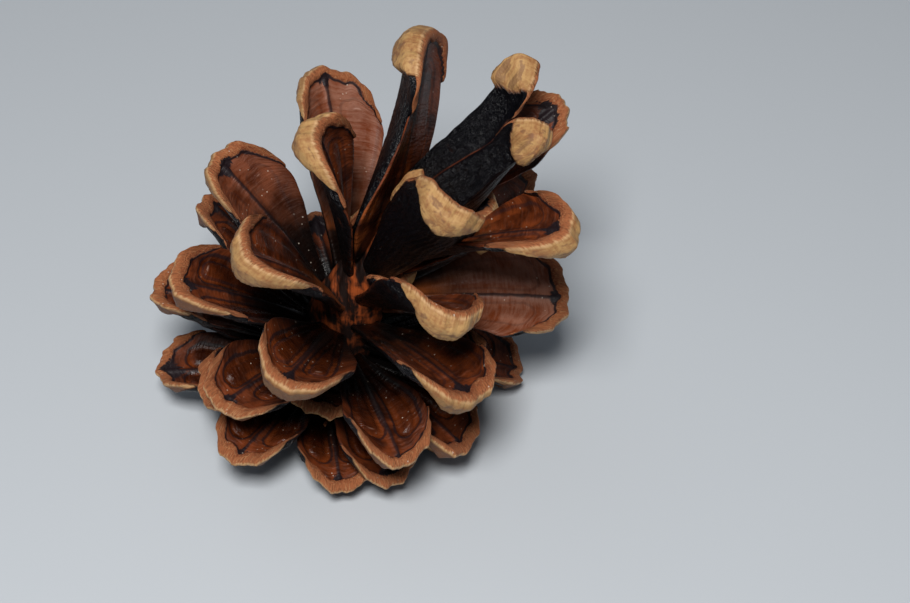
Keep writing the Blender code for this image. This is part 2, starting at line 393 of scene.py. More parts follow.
@dataclass
class Scale:
    """One scale: where it grows from, where its tip is, and how wide and thick it is."""

    foot: Matrix
    tip: Vector
    half_width: float
    rim_depth: float
    cup: float
    slender: float
    twist: float
    number: int
    imprint: Imprint
    grown: float = 1.0
    fineness: float = 1.0

    def __post_init__(self) -> None:
        """Works out the midrib's three points, and draws the marks that make this scale unlike the others."""
        tip = self.grown * (self.foot.inverted() @ self.tip)
        self.frame = self.foot @ Matrix.Rotation(math.atan2(tip.y, tip.x), 4, "Z")
        start = Vector((FORM.sunk_root, 0, 0))
        end = Vector((math.hypot(tip.x, tip.y), 0, tip.z))
        along = (end - start).normalized()
        middle = (start + end) / 2 + FORM.bow * Vector((-along.z, 0, along.x))
        self.ribs = [np.array((point.x, point.z)) for point in (start, middle, end)]
        self.length = (end - start).length
        self.last = 1 + FORM.front_bulge / self.length
        draw = random.Random(FORM.seed + self.number)
        self.front_line = Ripple(draw, (0.8, 1.7, 2.9))
        self.tooth_line = Ripple(draw, (6.3, 9.1, 13.7))
        self.side_lines = (Ripple(draw, (1.1, 2.7, 5.3)), Ripple(draw, (1.3, 2.3, 4.9)))
        self.rim_line = Ripple(draw, (1.2, 2.6, 5.1))
        self.warp_line = Ripple(draw, (0.7, 1.4))
        self.wrinkle_line = Ripple(draw, (1.5, 3.1))
        self.rim_width = draw.uniform(*FORM.rim_widths) * (1 - FORM.rim_lost * self.slender)
        self.wing_ends = [draw.uniform(*FORM.wing_ends) for _ in range(2)]
        self.nub_lengths = [draw.choice(FORM.nub_lengths) for _ in range(2)]
        self.wing_places = [draw.uniform(*FORM.wing_places) for _ in range(2)]
        self.wing_sizes = [draw.uniform(*FORM.wing_sizes) for _ in range(2)]
        self.patch_size = draw.uniform(*FORM.patch_sizes)
        self.corner_phase = draw.uniform(0, 1)
        self.own_number = draw.random()
        self.rank = max(self.number, 0) / (SEED_SCALES - 1)

    def midrib(self, along: Grid) -> tuple[Grid, Grid]:
        """Follows the arched line from root to tip.

        Args:
            along: How far along it, from 0 at the root to 1 at the tip.

        Returns:
            The places and the directions, as pairs of outward and upward parts in the last dimension.
        """
        start, middle, end = self.ribs
        share = along[..., None]
        left = 1 - share
        place = start * left**2 + middle * 2 * left * share + end * share**2
        way = (middle - start) * left + (end - middle) * share
        return place, way / np.linalg.norm(way, axis=-1, keepdims=True)

    def places(self) -> Places:
        """Chooses where the mesh has points, closest together near the tip.

        Returns:
            The grid of places.
        """
        coarse, fine, rounded = (max(4, int(count * self.fineness)) for count in FORM.stations)
        edge = self.last - FORM.front_round / self.length
        blade = np.linspace(0.0, 0.5, coarse, endpoint=False)
        tip = np.linspace(0.5, edge, fine, endpoint=False)
        turned = edge + (self.last - edge) * np.sin(np.linspace(0.0, math.pi / 2, rounded))
        columns = int(FORM.columns * self.fineness) // 2 * 2 + 1
        angles = np.linspace(-math.pi / 2, math.pi / 2, columns)
        along, turn = np.meshgrid(np.concatenate([blade, tip, turned]), angles, indexing="ij")
        across = np.sin(turn)
        shape = blend((smooth(FORM.paddle, along), smooth(FORM.slender, along)), self.slender)
        uneven = np.where(across > 0, self.side_lines[0](along), self.side_lines[1](along))
        half = self.half_width * shape * (1 + FORM.unevenness * uneven * ease(*FORM.uneven_from, along))
        return Places(along, turn, across, half)

    def inset(self, at: Places) -> Grid:
        """Measures the distance in from the tip's outline, longer down the sides so that the rim dies out.

        Args:
            at: The grid of places.

        Returns:
            The distance, rounded where the front and a side are equally near.
        """
        front = (self.last - at.along) * self.length
        fade = FORM.side_fade * np.maximum(FORM.side_fade_until - at.along, 0) * self.length
        side = (1 - np.abs(at.across)) * at.half + fade
        nearer = np.minimum(front, side)
        corner = FORM.rim_corner
        overlap = np.maximum(corner - np.abs(front - side), 0) / corner
        return np.maximum(nearer - overlap**2 * corner / 4 * ease(0.0, corner, nearer), 0)

    def wing(self, at: Places) -> tuple[Grid, Grid]:
        """Measures the seed wings' marks.

        Args:
            at: The grid of places.

        Returns:
            The distance outwards from the nearer wing's outline, below 0 inside it, and the distance into its
            pale end.
        """
        bent = FORM.wing_bend * self.warp_line(at.along)
        right = at.across > 0
        sideways = np.abs(at.across) * at.half - np.where(right, *self.wing_places) * at.half + bent
        radius = np.where(right, *self.wing_sizes) * at.half
        far_end = self.length - self.rim_width - FORM.wing_gap + np.where(right, *self.wing_ends) - radius
        beyond = at.along * self.length - far_end
        nub = beyond + np.where(right, *self.nub_lengths) - FORM.nub_depth
        return np.hypot(sideways, np.maximum(beyond, 0)) - radius, nub

    def behind_face(self, at: Places) -> Grid:
        """Measures how far behind the tip's outer face each point of the back is.

        Args:
            at: The grid of places.

        Returns:
            The distance from the face's boundary, below 0 on the face itself.
        """
        curved = self.slender * FORM.rounding[1] * at.along**2 * (1 - np.cos(at.turn))
        behind = (self.last - at.along + FORM.outer_bow * curved) * self.length
        narrowed = 1 - FORM.outer_narrowing * (1 - self.slender) * at.across**2
        waves = FORM.outer_waves * self.rim_line(at.across / 2)
        return behind - blend(FORM.outer_face, self.slender) * narrowed - waves

    def relief(self, at: Places, rim: Grid) -> Grid:
        """Works out the upper face's relief: rim, groove, ridge and the seed wings' imprints.

        Args:
            at: The grid of places.
            rim: The distance in from the outline, shortened where the rim is wide.

        Returns:
            The height over the plain blade.
        """
        width = self.rim_width
        on_rim = 1 - ease(width - FORM.rim_soft[0], width + FORM.rim_soft[1], rim)
        inner = (1 - on_rim) * ease(*FORM.inner_from, at.along)
        marked = self.imprint.value * inner
        wing, _ = self.wing(at)
        sloped = FORM.rim_slope * (1 - np.clip(rim / width, 0, 1)) ** 2
        warped = self.warp_line(at.along + FORM.warp_skew * at.across) * at.across
        return (
            on_rim * (FORM.rim_rise - sloped)
            - FORM.groove * bump(rim, width + FORM.groove_place, FORM.groove_width)
            + FORM.ridge * bump(at.across * at.half, 0, FORM.ridge_width) * inner
            - FORM.wing_depth * (1 - ease(*FORM.wing_edge, wing)) * marked
            + FORM.tongue_rise * (1 - ease(*FORM.tongue_edge, wing)) * marked
            + FORM.warp * warped * ease(*FORM.warp_from, at.along)
        )

    def depth(self, at: Places, behind: Grid) -> Grid:
        """Works out the scale's depth, with the outer face's swelling, the keel and the back's wrinkles.

        Args:
            at: The grid of places.
            behind: The distance behind the outer face's boundary.

        Returns:
            The depth of the lower face under the plain blade.
        """
        swell = 1 - ease(-FORM.shoulder, FORM.shoulder, behind)
        keel = FORM.keel * self.slender * smooth(FORM.slender, at.along)
        blade = FORM.blade + keel * (1 - np.abs(at.across))
        thinned = blend(FORM.front_thinned, ease(*FORM.thinned_until, self.rank))
        near = 1 - ease(0, FORM.thinned_depth, self.inset(at))
        thickness = blend((blade, self.rim_depth * (1 - thinned * near)), swell)
        wander = FORM.wrinkle_wander * self.wrinkle_line(at.along)
        wrinkles = np.sin(at.across * at.half / FORM.wrinkle_pitch + wander) * (1 - swell)
        wrinkles = wrinkles * ease(*FORM.wrinkle_from, at.along)
        lumps = self.rim_line(3 * at.along + 2 * at.across) * swell
        side = blend((1.0, FORM.edge_share), at.across**2)
        return thickness * side - FORM.wrinkle * wrinkles - FORM.lump * lumps

    def heights(self, at: Places) -> dict[str, Grid]:
        """Works out the upper and lower face over the midrib, and the marks that the finish is drawn from.

        Args:
            at: The grid of places.

        Returns:
            Grids by name: upper, lower, behind, wing, nub, profile_up, profile_down and patch.
        """
        wing, nub = self.wing(at)
        behind = self.behind_face(at)
        notch = FORM.notch * bump(at.across, 0, FORM.notch_width)
        rim = self.inset(at) / (1 + FORM.rim_waves * self.rim_line(at.turn / math.pi) - notch)
        cupped = self.cup * ease(*FORM.cup_from, at.along) * at.across**2
        top = cupped + self.relief(at, rim)
        low = cupped - self.depth(at, behind)
        front = np.clip(1 - (self.last - at.along) * self.length / FORM.front_round, 0, 1)
        edge = np.clip(1 - (1 - np.abs(at.across)) * at.half / FORM.side_round, 0, 1)
        kept = np.sqrt(np.maximum((1 - front**2) * (1 - edge**2), 0)) ** FORM.squareness
        middle = blend((top, low), FORM.edge_level)
        upper = blend((middle, top), kept)
        lower = blend((middle, low), kept)
        beyond = np.maximum(rim - FORM.front_round, 0)
        inwards = (self.last - at.along) * self.length - self.rim_width
        sloping = np.where(inwards > 0, *FORM.patch_slopes) * inwards
        return {
            "upper": upper,
            "lower": lower,
            "behind": behind,
            "wing": wing,
            "nub": nub,
            "profile_up": (top - upper) - beyond,
            "profile_down": (top - lower) + beyond,
            "patch": self.patch_size - np.abs(at.across * at.half) - sloping,
        }

    def place(self, at: Places, height: Grid) -> Grid:
        """Puts grid points in the row frame. Lines across the scale curve back at their sides.

        Args:
            at: The grid of places.
            height: The height over the midrib.

        Returns:
            The points, with x, y and z in the last dimension.
        """
        back = blend(FORM.rounding, self.slender) * at.along**2 * (1 - np.cos(at.turn))
        corners = -np.abs(np.sin(math.pi * (FORM.corner_rate * at.turn + self.corner_phase)))
        lines = (corners, self.front_line(at.turn / math.pi), self.tooth_line(at.turn / math.pi))
        jut = FORM.crenulation * sum(share * line for share, line in zip(FORM.jut_shares, lines))
        fading = ease(*FORM.jut_from, at.along) * (1 - FORM.jut_lost * self.slender)
        ribs, way = self.midrib(at.along - back + jut * fading / self.length)
        twisted = self.twist * at.along
        sideways = at.across * at.half
        over = sideways * np.cos(twisted) - height * np.sin(twisted)
        lifted = sideways * np.sin(twisted) + height * np.cos(twisted)
        local = np.stack([ribs[..., 0] - way[..., 1] * lifted, over, ribs[..., 1] + way[..., 0] * lifted], -1)
        matrix = np.array(self.frame)
        return local @ matrix[:3, :3].T + matrix[:3, 3]

    @staticmethod
    def faces(rows: int, columns: int) -> list[tuple[int, ...]]:
        """Joins a grid's upper and lower points into a closed surface.

        Args:
            rows: How many points there are from root to tip.
            columns: How many there are from side to side.

        Returns:
            The faces, by their points' numbers.
        """
        above = np.arange(rows * columns).reshape(rows, columns)
        below = above.copy()
        below[INSIDE] = rows * columns + np.arange((rows - 1) * (columns - 2)).reshape(rows - 1, -1)
        faces = []
        for column in range(columns - 1):
            for row in range(rows - 1):
                corners = ((row, column), (row, column + 1), (row + 1, column + 1), (row + 1, column))
                faces.append(tuple(int(above[corner]) for corner in reversed(corners)))
                faces.append(tuple(int(below[corner]) for corner in corners))
            ring = (above[0, column], above[0, column + 1], below[0, column + 1], below[0, column])
            faces.append(tuple(dict.fromkeys(int(index) for index in ring)))
        return faces

    def add_to(self, shell: Shell) -> None:
        """Adds the scale to a mesh, as two faces that meet round its edge.

        Args:
            shell: The mesh that it joins.
        """
        at = self.places()
        grids = self.heights(at)
        upper, lower = self.place(at, grids["upper"]), self.place(at, grids["lower"])
        under = np.zeros_like(at.along)
        under[:, [0, -1]] = 0.5
        under[-1, :] = 0.5

        def both(up: Grid, down: Grid) -> Grid:
            """One number for each point of the upper face and then of the lower one."""
            return np.concatenate([up.ravel(), down[INSIDE].ravel()])

        lengths = {
            "along": at.along * self.length,
            "across": at.across * at.half,
            "round": at.turn * self.half_width,
            "rim": np.full_like(at.along, self.rim_width),
            **{name: grids[name] for name in ("behind", "wing", "nub", "patch")},
        }
        marks = {f"{name}_mm": both(grid / MM, grid / MM) for name, grid in lengths.items()}
        marks["profile_mm"] = both(grids["profile_up"] / MM, grids["profile_down"] / MM)
        marks["share"] = both(at.along, at.along)
        marks["under"] = both(under, np.ones_like(under))
        for name, value in (("own", self.own_number), ("rank", self.rank), ("marked", self.imprint.value)):
            marks[name] = np.full_like(marks["share"], value)
        points = np.vstack([upper.reshape(-1, 3), lower[INSIDE].reshape(-1, 3)])
        shell.add(points, self.faces(*under.shape), marks)


@dataclass(frozen=True)
class Spiral:
    """The spiral of seed scales, from the widest ring at the base to the tip, by the solid's own rule."""

    axis: Axis
    count: int = SEED_SCALES
    divergence: float = math.radians(137.508)
    first_bearing: float = math.radians(276.8)
    root_heights: Series = (2.2 * MM, 7.6 * MM, 12.6 * MM, 20.4 * MM, 31.2 * MM)
    tip_centres: Pair = (3.0 * MM, 36.3 * MM)
    tip_radii: Series = (19.0 * MM, 20.4 * MM, 21.9 * MM, 18.0 * MM, 5.2 * MM)
    tip_heights: Series = (4.5 * MM, 8.2 * MM, 17.8 * MM, 39.1 * MM, 52.1 * MM)
    half_widths: Series = (4.7 * MM, 5.0 * MM, 5.3 * MM, 5.3 * MM, 3.3 * MM)
    rim_depths: Pair = (2.3 * MM, 3.6 * MM)
    cup: float = 2.0 * MM
    cup_lost: float = 0.6
    slender_from: float = 0.74
    bearing_spread: float = math.radians(2.0)
    twist_spread: float = math.radians(8.0)
    reach_spread: float = 0.03
    rise_spread: float = 0.6 * MM
    width_spread: float = 0.07
    deep_until: int = 27
    faint: tuple[int, ...] = (28, 32, 33)
    group: int = 5

    # Scales off the rule: further turn round the axis in degrees, share of their length, lift in mm.
    misplaced = {
        0: (0, 0.96, -1.0), 2: (-4, 1.06, -2.0), 3: (0, 1.0, -1.2), 5: (-4, 1.04, 0.3),
        6: (0, 1.0, -0.4), 10: (0, 0.83, -3.5), 11: (0, 0.90, 0.0), 15: (2, 1.06, 1.8),
        16: (2, 1.0, 1.2), 18: (-2, 0.98, -1.5), 19: (-5, 1.16, 0.5), 20: (0, 1.0, 2.0),
        21: (7, 1.0, 0.5), 23: (2, 1.06, 1.6), 24: (0, 0.84, 0.0), 26: (-6, 1.10, 0.4),
        28: (0, 1.04, 1.0), 29: (-8, 1.08, 1.2), 31: (-2, 1.20, -1.0), 32: (0, 1.04, 0.0),
        33: (-2, 1.03, 0.4), 34: (3, 1.0, 1.0), 36: (4, 0.98, -0.3), 39: (8, 1.0, 3.3),
        41: (-4, 1.06, 2.5), 42: (2, 1.16, 0.0), 47: (-12, 0.90, 3.9), 48: (24, 1.0, 0.0),
        49: (0, 1.16, 0.0),
    }

    # Scales that dried twisted, in further degrees at their tip, and scales of another width, as a share.
    twisted = {28: -20, 31: -6, 32: 34, 33: -12, 34: -6, 36: -12, 41: 21, 42: 50}
    widened = {21: 0.90, 31: 1.10, 34: 0.94, 36: 0.95, 41: 2.00, 48: 1.20, 49: 0.95}

    # Scales that stayed short, as a share of their length.
    stunted = {
        13: 0.55, 17: 0.75, 25: 0.62, 30: 0.50, 37: 0.20, 38: 0.24, 40: 0.55, 43: 0.50, 44: 0.45,
        45: 0.50, 46: 0.50,
    }

    # Scales near the tip that are flatter or more keeled than the rule's: 0 for flat and 1 for fully keeled.
    keeled = {41: 0.70, 42: 0.0, 48: 0.0}

    def imprint_of(self, index: int) -> Imprint:
        """Chooses how deep a scale's imprints are: lower scales held the larger seeds.

        Args:
            index: The scale's number on the spiral.

        Returns:
            The depth of its imprints.
        """
        if index in self.faint:
            return Imprint.FAINT
        return Imprint.DEEP if index < self.deep_until else Imprint.PLAIN

    def scale(self, index: int, draw: random.Random) -> Scale:
        """Makes one scale by its place from the base to the tip.

        Args:
            index: Its number on the spiral.
            draw: The random numbers, used in the same order as in the solid.

        Returns:
            The scale.
        """
        share = index / (self.count - 1)
        turn, stretch, lift = self.misplaced.get(index, (0.0, 1.0, 0.0))
        bearing = self.first_bearing + index * self.divergence + math.radians(turn)
        reach = smooth(self.tip_radii, share) * (1 + draw.uniform(-self.reach_spread, self.reach_spread))
        rise = smooth(self.tip_heights, share) + lift * MM + draw.uniform(-self.rise_spread, self.rise_spread)
        bearing = bearing + draw.uniform(-self.bearing_spread, self.bearing_spread)
        width = smooth(self.half_widths, share) * self.widened.get(index, 1.0)
        width = width * (1 + draw.uniform(-self.width_spread, self.width_spread))
        twist = math.radians(self.twisted.get(index, 0.0))
        slender = self.keeled.get(index, float(ease(self.slender_from, 1.0, share)))
        centre = blend(self.tip_centres, share)
        return Scale(
            foot=self.axis.frame(float(smooth(self.root_heights, share))),
            tip=self.axis.tip_point(centre, bearing, float(reach), float(rise), stretch),
            half_width=float(width),
            rim_depth=blend(self.rim_depths, share),
            cup=self.cup * (1 - self.cup_lost * slender),
            slender=slender,
            twist=twist + draw.uniform(-self.twist_spread, self.twist_spread),
            number=index,
            imprint=self.imprint_of(index),
            grown=self.stunted.get(index, 1.0),
        )

    def build(self, draw: random.Random, material: bpy.types.Material) -> list[bpy.types.Object]:
        """Makes the pieces, each of a few scales that follow each other round the spiral.

        Args:
            draw: The random numbers that the solid's rule uses.
            material: The scales' finish.

        Returns:
            The pieces, from the base to the tip.
        """
        pieces = []
        for first in range(0, self.count, self.group):
            shell = Shell()
            for index in range(first, first + self.group):
                self.scale(index, draw).add_to(shell)
            pieces.append(shell.to_object(f"seed_scales_{first:02d}_{first + self.group - 1:02d}", material))
        return pieces


@dataclass(frozen=True)
class BasalScales:
    """The small closed scales packed under the base, round the stalk."""

    spiral: Spiral
    count: int = 10
    tip_radii: Pair = (8.0 * MM, 16.0 * MM)
    tip_heights: Pair = (2.0 * MM, 2.6 * MM)
    root_heights: Pair = (1.0 * MM, 3.0 * MM)
    half_width: float = 3.6 * MM
    least_width: float = 0.7
    cup: float = 0.6 * MM
    fineness: float = 0.7

    def scale(self, index: int, draw: random.Random) -> Scale:
        """Makes one small scale. The spiral runs on downwards from the first seed scale.

        Args:
            index: Its number, counted down from the first seed scale.
            draw: The random numbers, used in the same order as in the solid.

        Returns:
            The scale.
        """
        share = 1 - index / self.count
        spread = self.spiral.reach_spread
        root = blend(self.root_heights, share)
        bearing = self.spiral.first_bearing - index * self.spiral.divergence
        reach = blend(self.tip_radii, share) * (1 + draw.uniform(-spread, spread))
        axis = self.spiral.axis
        return Scale(
            foot=axis.frame(root),
            tip=axis.tip_point(root, bearing, reach, blend(self.tip_heights, share)),
            half_width=self.half_width * blend((self.least_width, 1.0), share),
            rim_depth=FORM.blade,
            cup=self.cup,
            slender=0.0,
            twist=0.0,
            number=-index,
            imprint=Imprint.PLAIN,
            fineness=self.fineness,
        )

    def build(self, draw: random.Random, material: bpy.types.Material) -> bpy.types.Object:
        """Makes all the small scales as one piece.

        Args:
            draw: The random numbers, where the seed scales left them.
            material: The scales' finish.

        Returns:
            The piece.
        """
        shell = Shell()
        for index in range(1, self.count + 1):
            self.scale(index, draw).add_to(shell)
        return shell.to_object("basal_scales", material)


class Kind(Enum):
    """What a shader socket carries."""

    VALUE = "value"
    VECTOR = "vector"


@dataclass(frozen=True)
class Socket:
    """A shader output that takes part in Python expressions, each operator adding its node."""

    tree: "ShaderTree"
    output: bpy.types.NodeSocket
    kind: Kind = Kind.VALUE

    def _with(self, operation: str, first: "Term", second: "Term") -> "Socket":
        """Adds the node of a two-sided operation.

        Args:
            operation: The Math or Vector Math operation.
            first: The left side.
            second: The right side.

        Returns:
            The result.
        """
        vectors = [is_vector(term) for term in (first, second)]
        if not any(vectors):
            return self.tree.add("ShaderNodeMath", {"operation": operation}, {0: first, 1: second})
        if operation == "MULTIPLY" and not all(vectors):
            vector, factor = (first, second) if vectors[0] else (second, first)
            made = self.tree.add("ShaderNodeVectorMath", {"operation": "SCALE"}, {0: vector, "Scale": factor})
        else:
            made = self.tree.add("ShaderNodeVectorMath", {"operation": operation}, {0: first, 1: second})
        return Socket(self.tree, made.output, Kind.VECTOR)

    def __add__(self, other: "Term") -> "Socket":
        """The sum."""
        return self._with("ADD", self, other)

    def __radd__(self, other: "Term") -> "Socket":
        """The sum, with the socket on the right."""
        return self._with("ADD", other, self)

    def __sub__(self, other: "Term") -> "Socket":
        """The difference."""
        return self._with("SUBTRACT", self, other)

    def __rsub__(self, other: "Term") -> "Socket":
        """The difference, with the socket on the right."""
        return self._with("SUBTRACT", other, self)

    def __mul__(self, other: "Term") -> "Socket":
        """The product."""
        return self._with("MULTIPLY", self, other)

    def __rmul__(self, other: "Term") -> "Socket":
        """The product, with the socket on the right."""
        return self._with("MULTIPLY", other, self)

    def __abs__(self) -> "Socket":
        """The value without its sign."""
        return self.tree.add("ShaderNodeMath", {"operation": "ABSOLUTE"}, {0: self})


Term = Union[Socket, float, tuple]


def is_vector(term: Term) -> bool:
    """True for a vector or colour, whether a socket or plain numbers."""
    return term.kind is Kind.VECTOR if isinstance(term, Socket) else isinstance(term, tuple)


class ShaderTree:
    """The nodes of one material."""

    def __init__(self, name: str) -> None:
        """Makes a material that holds only its Principled shader and output.

        Args:
            name: The material's name.
        """
        self.material = bpy.data.materials.new(name)
        self.material.use_nodes = True
        self.shader = self.material.node_tree.nodes["Principled BSDF"]

    def feed(self, socket: bpy.types.NodeSocket, term: Term) -> None:
        """Links a socket to another's output, or sets it to plain numbers.

        Args:
            socket: The socket that is fed.
            term: What feeds it.
        """
        if isinstance(term, Socket):
            self.material.node_tree.links.new(term.output, socket)
        elif isinstance(term, tuple) and len(socket.default_value) == 4:
            socket.default_value = (*term[:3], 1.0)
        else:
            socket.default_value = term

    def add(self, kind: str, settings: dict, inputs: dict, result: Union[int, str] = 0) -> Socket:
        """Adds a node of any type.

        Args:
            kind: The node's type.
            settings: Its own settings, set first.
            inputs: Values or links for its sockets, by name or number.
            result: The output that is wanted.

        Returns:
            That output.
        """
        node = self.material.node_tree.nodes.new(kind)
        for name, value in settings.items():
            setattr(node, name, value)
        for key, term in inputs.items():
            if isinstance(key, str):
                key = next(i for i, s in enumerate(node.inputs) if key in (s.identifier, s.name) and s.enabled)
            self.feed(node.inputs[key], term)
        output = node.outputs[result]
        return Socket(self, output, Kind.VALUE if output.type == "VALUE" else Kind.VECTOR)

    def mark(self, name: str) -> Socket:
        """A number that the mesh holds at each point."""
        return self.add("ShaderNodeAttribute", {"attribute_name": name}, {}, "Fac")

    def vector(self, x: Term, y: Term, z: Term) -> Socket:
        """A vector of three values."""
        return self.add("ShaderNodeCombineXYZ", {}, {0: x, 1: y, 2: z})

    def rise(self, value: Term, low: float, high: float) -> Socket:
        """0 where value is under low, 1 over high, and a smooth rise between them."""
        inputs = {"Value": value, "From Min": low, "From Max": high}
        return self.add("ShaderNodeMapRange", {"interpolation_type": "SMOOTHSTEP"}, inputs)

    def line(self, value: Socket, centre: Term, half_width: float, soft: float) -> Socket:
        """1 on a line where value equals centre, and 0 away from it."""
        return 1 - self.rise(abs(value - centre), half_width, half_width + soft)

    def noise(self, place: Socket, scale: float, detail: float = 3.0, roughness: float = 0.55) -> Socket:
        """A cloudy pattern from 0 to 1."""
        inputs = {"Vector": place, "Scale": scale, "Detail": detail, "Roughness": roughness}
        return self.add("ShaderNodeTexNoise", {}, inputs, "Fac")

    def spots(self, place: Socket, scale: float) -> Socket:
        """The distance from scattered points, in their own spacing."""
        inputs = {"Vector": place, "Scale": scale}
        return self.add("ShaderNodeTexVoronoi", {"feature": "F1"}, inputs, "Distance")

    def mix(self, factor: Term, first: Term, second: Term) -> Socket:
        """A colour between two, the first at factor 0 and the second at 1."""
        inputs = {"Factor_Float": factor, "A_Color": first, "B_Color": second}
        return self.add("ShaderNodeMix", {"data_type": "RGBA"}, inputs, 2)

    def between(self, factor: Socket, first: Term, second: Term) -> Socket:
        """A value between two, the first at factor 0 and the second at 1."""
        return first + factor * (second - first)

    def raised(self, height: Socket, depth: float) -> Socket:
        """The surface's direction where a height in units of depth raises it."""
        return self.add("ShaderNodeBump", {}, {"Strength": 1.0, "Distance": depth, "Height": height})

    def coat(self, colour: Term, roughness: Term, specular: float) -> None:
        """Feeds the shader its colour and its gloss.

        Args:
            colour: The base colour.
            roughness: The roughness.
            specular: How strongly it mirrors light, head on.
        """
        self.feed(self.shader.inputs["Base Color"], colour)
        self.feed(self.shader.inputs["Roughness"], roughness)
        self.feed(self.shader.inputs["Specular IOR Level"], specular)


class ScaleTree(ShaderTree):
    """The nodes of the scales' finish, with the patterns that its layers share.

    The lengths that the meshes hold, and so the patterns drawn on them, are in mm.
    """

    def __init__(self, name: str) -> None:
        """Makes the material, and the nodes of its marks and patterns.

        Args:
            name: The material's name.
        """
        super().__init__(name)
        self.along, self.across = self.mark("along_mm"), self.mark("across_mm")
        self.round, self.profile = self.mark("round_mm"), self.mark("profile_mm")
        self.rim, self.behind = self.mark("rim_mm"), self.mark("behind_mm")
        self.wing, self.nub, self.patch = self.mark("wing_mm"), self.mark("nub_mm"), self.mark("patch_mm")
        self.share, self.under, self.own = self.mark("share"), self.mark("under"), self.mark("own")
        self.rank, self.marked = self.mark("rank"), self.mark("marked")
        self.shift = self.own * 60.0
        self.even = self.vector(self.along, self.across, self.shift)
        self.cloud = self.noise(self.even, 0.45, 4.0)
        self.grain = self.noise(self.even, 3.4, 4.0, 0.65)
        self.ripple = self.noise(self.vector(self.along * 2.6, self.across * 0.45, self.shift), 1.0)
        self.fibre = self.noise(self.vector(self.along * 0.35, self.across * 3.2, self.shift), 1.0, 4.0, 0.6)
        self.stria = self.noise(self.vector(self.round * 3.4, self.profile * 0.5, self.shift), 1.0, 3.0, 0.6)
        self.flecks = self.noise(self.vector(self.round * 1.8, self.profile, self.shift), 3.2, 2.0)
        self.wobble = self.noise(self.even, 0.9, 2.0) - 0.5
        self.upper = 1 - self.rise(self.under, 0.45, 0.55)
        self.band = self.profile + self.rim + self.wobble * 0.3 + (self.stria - 0.5) * 0.12
        self.on_rim = self.rise(self.band, 0.60, 0.70)
        past = self.rise(self.behind + (self.fibre - 0.5) * 1.2, -0.25, 0.35)
        self.on_face = self.rise(self.profile + (self.stria - 0.5) * 0.7, 0.15, 0.55) * (1 - past)
        self.on_back = past * (1 - self.upper)


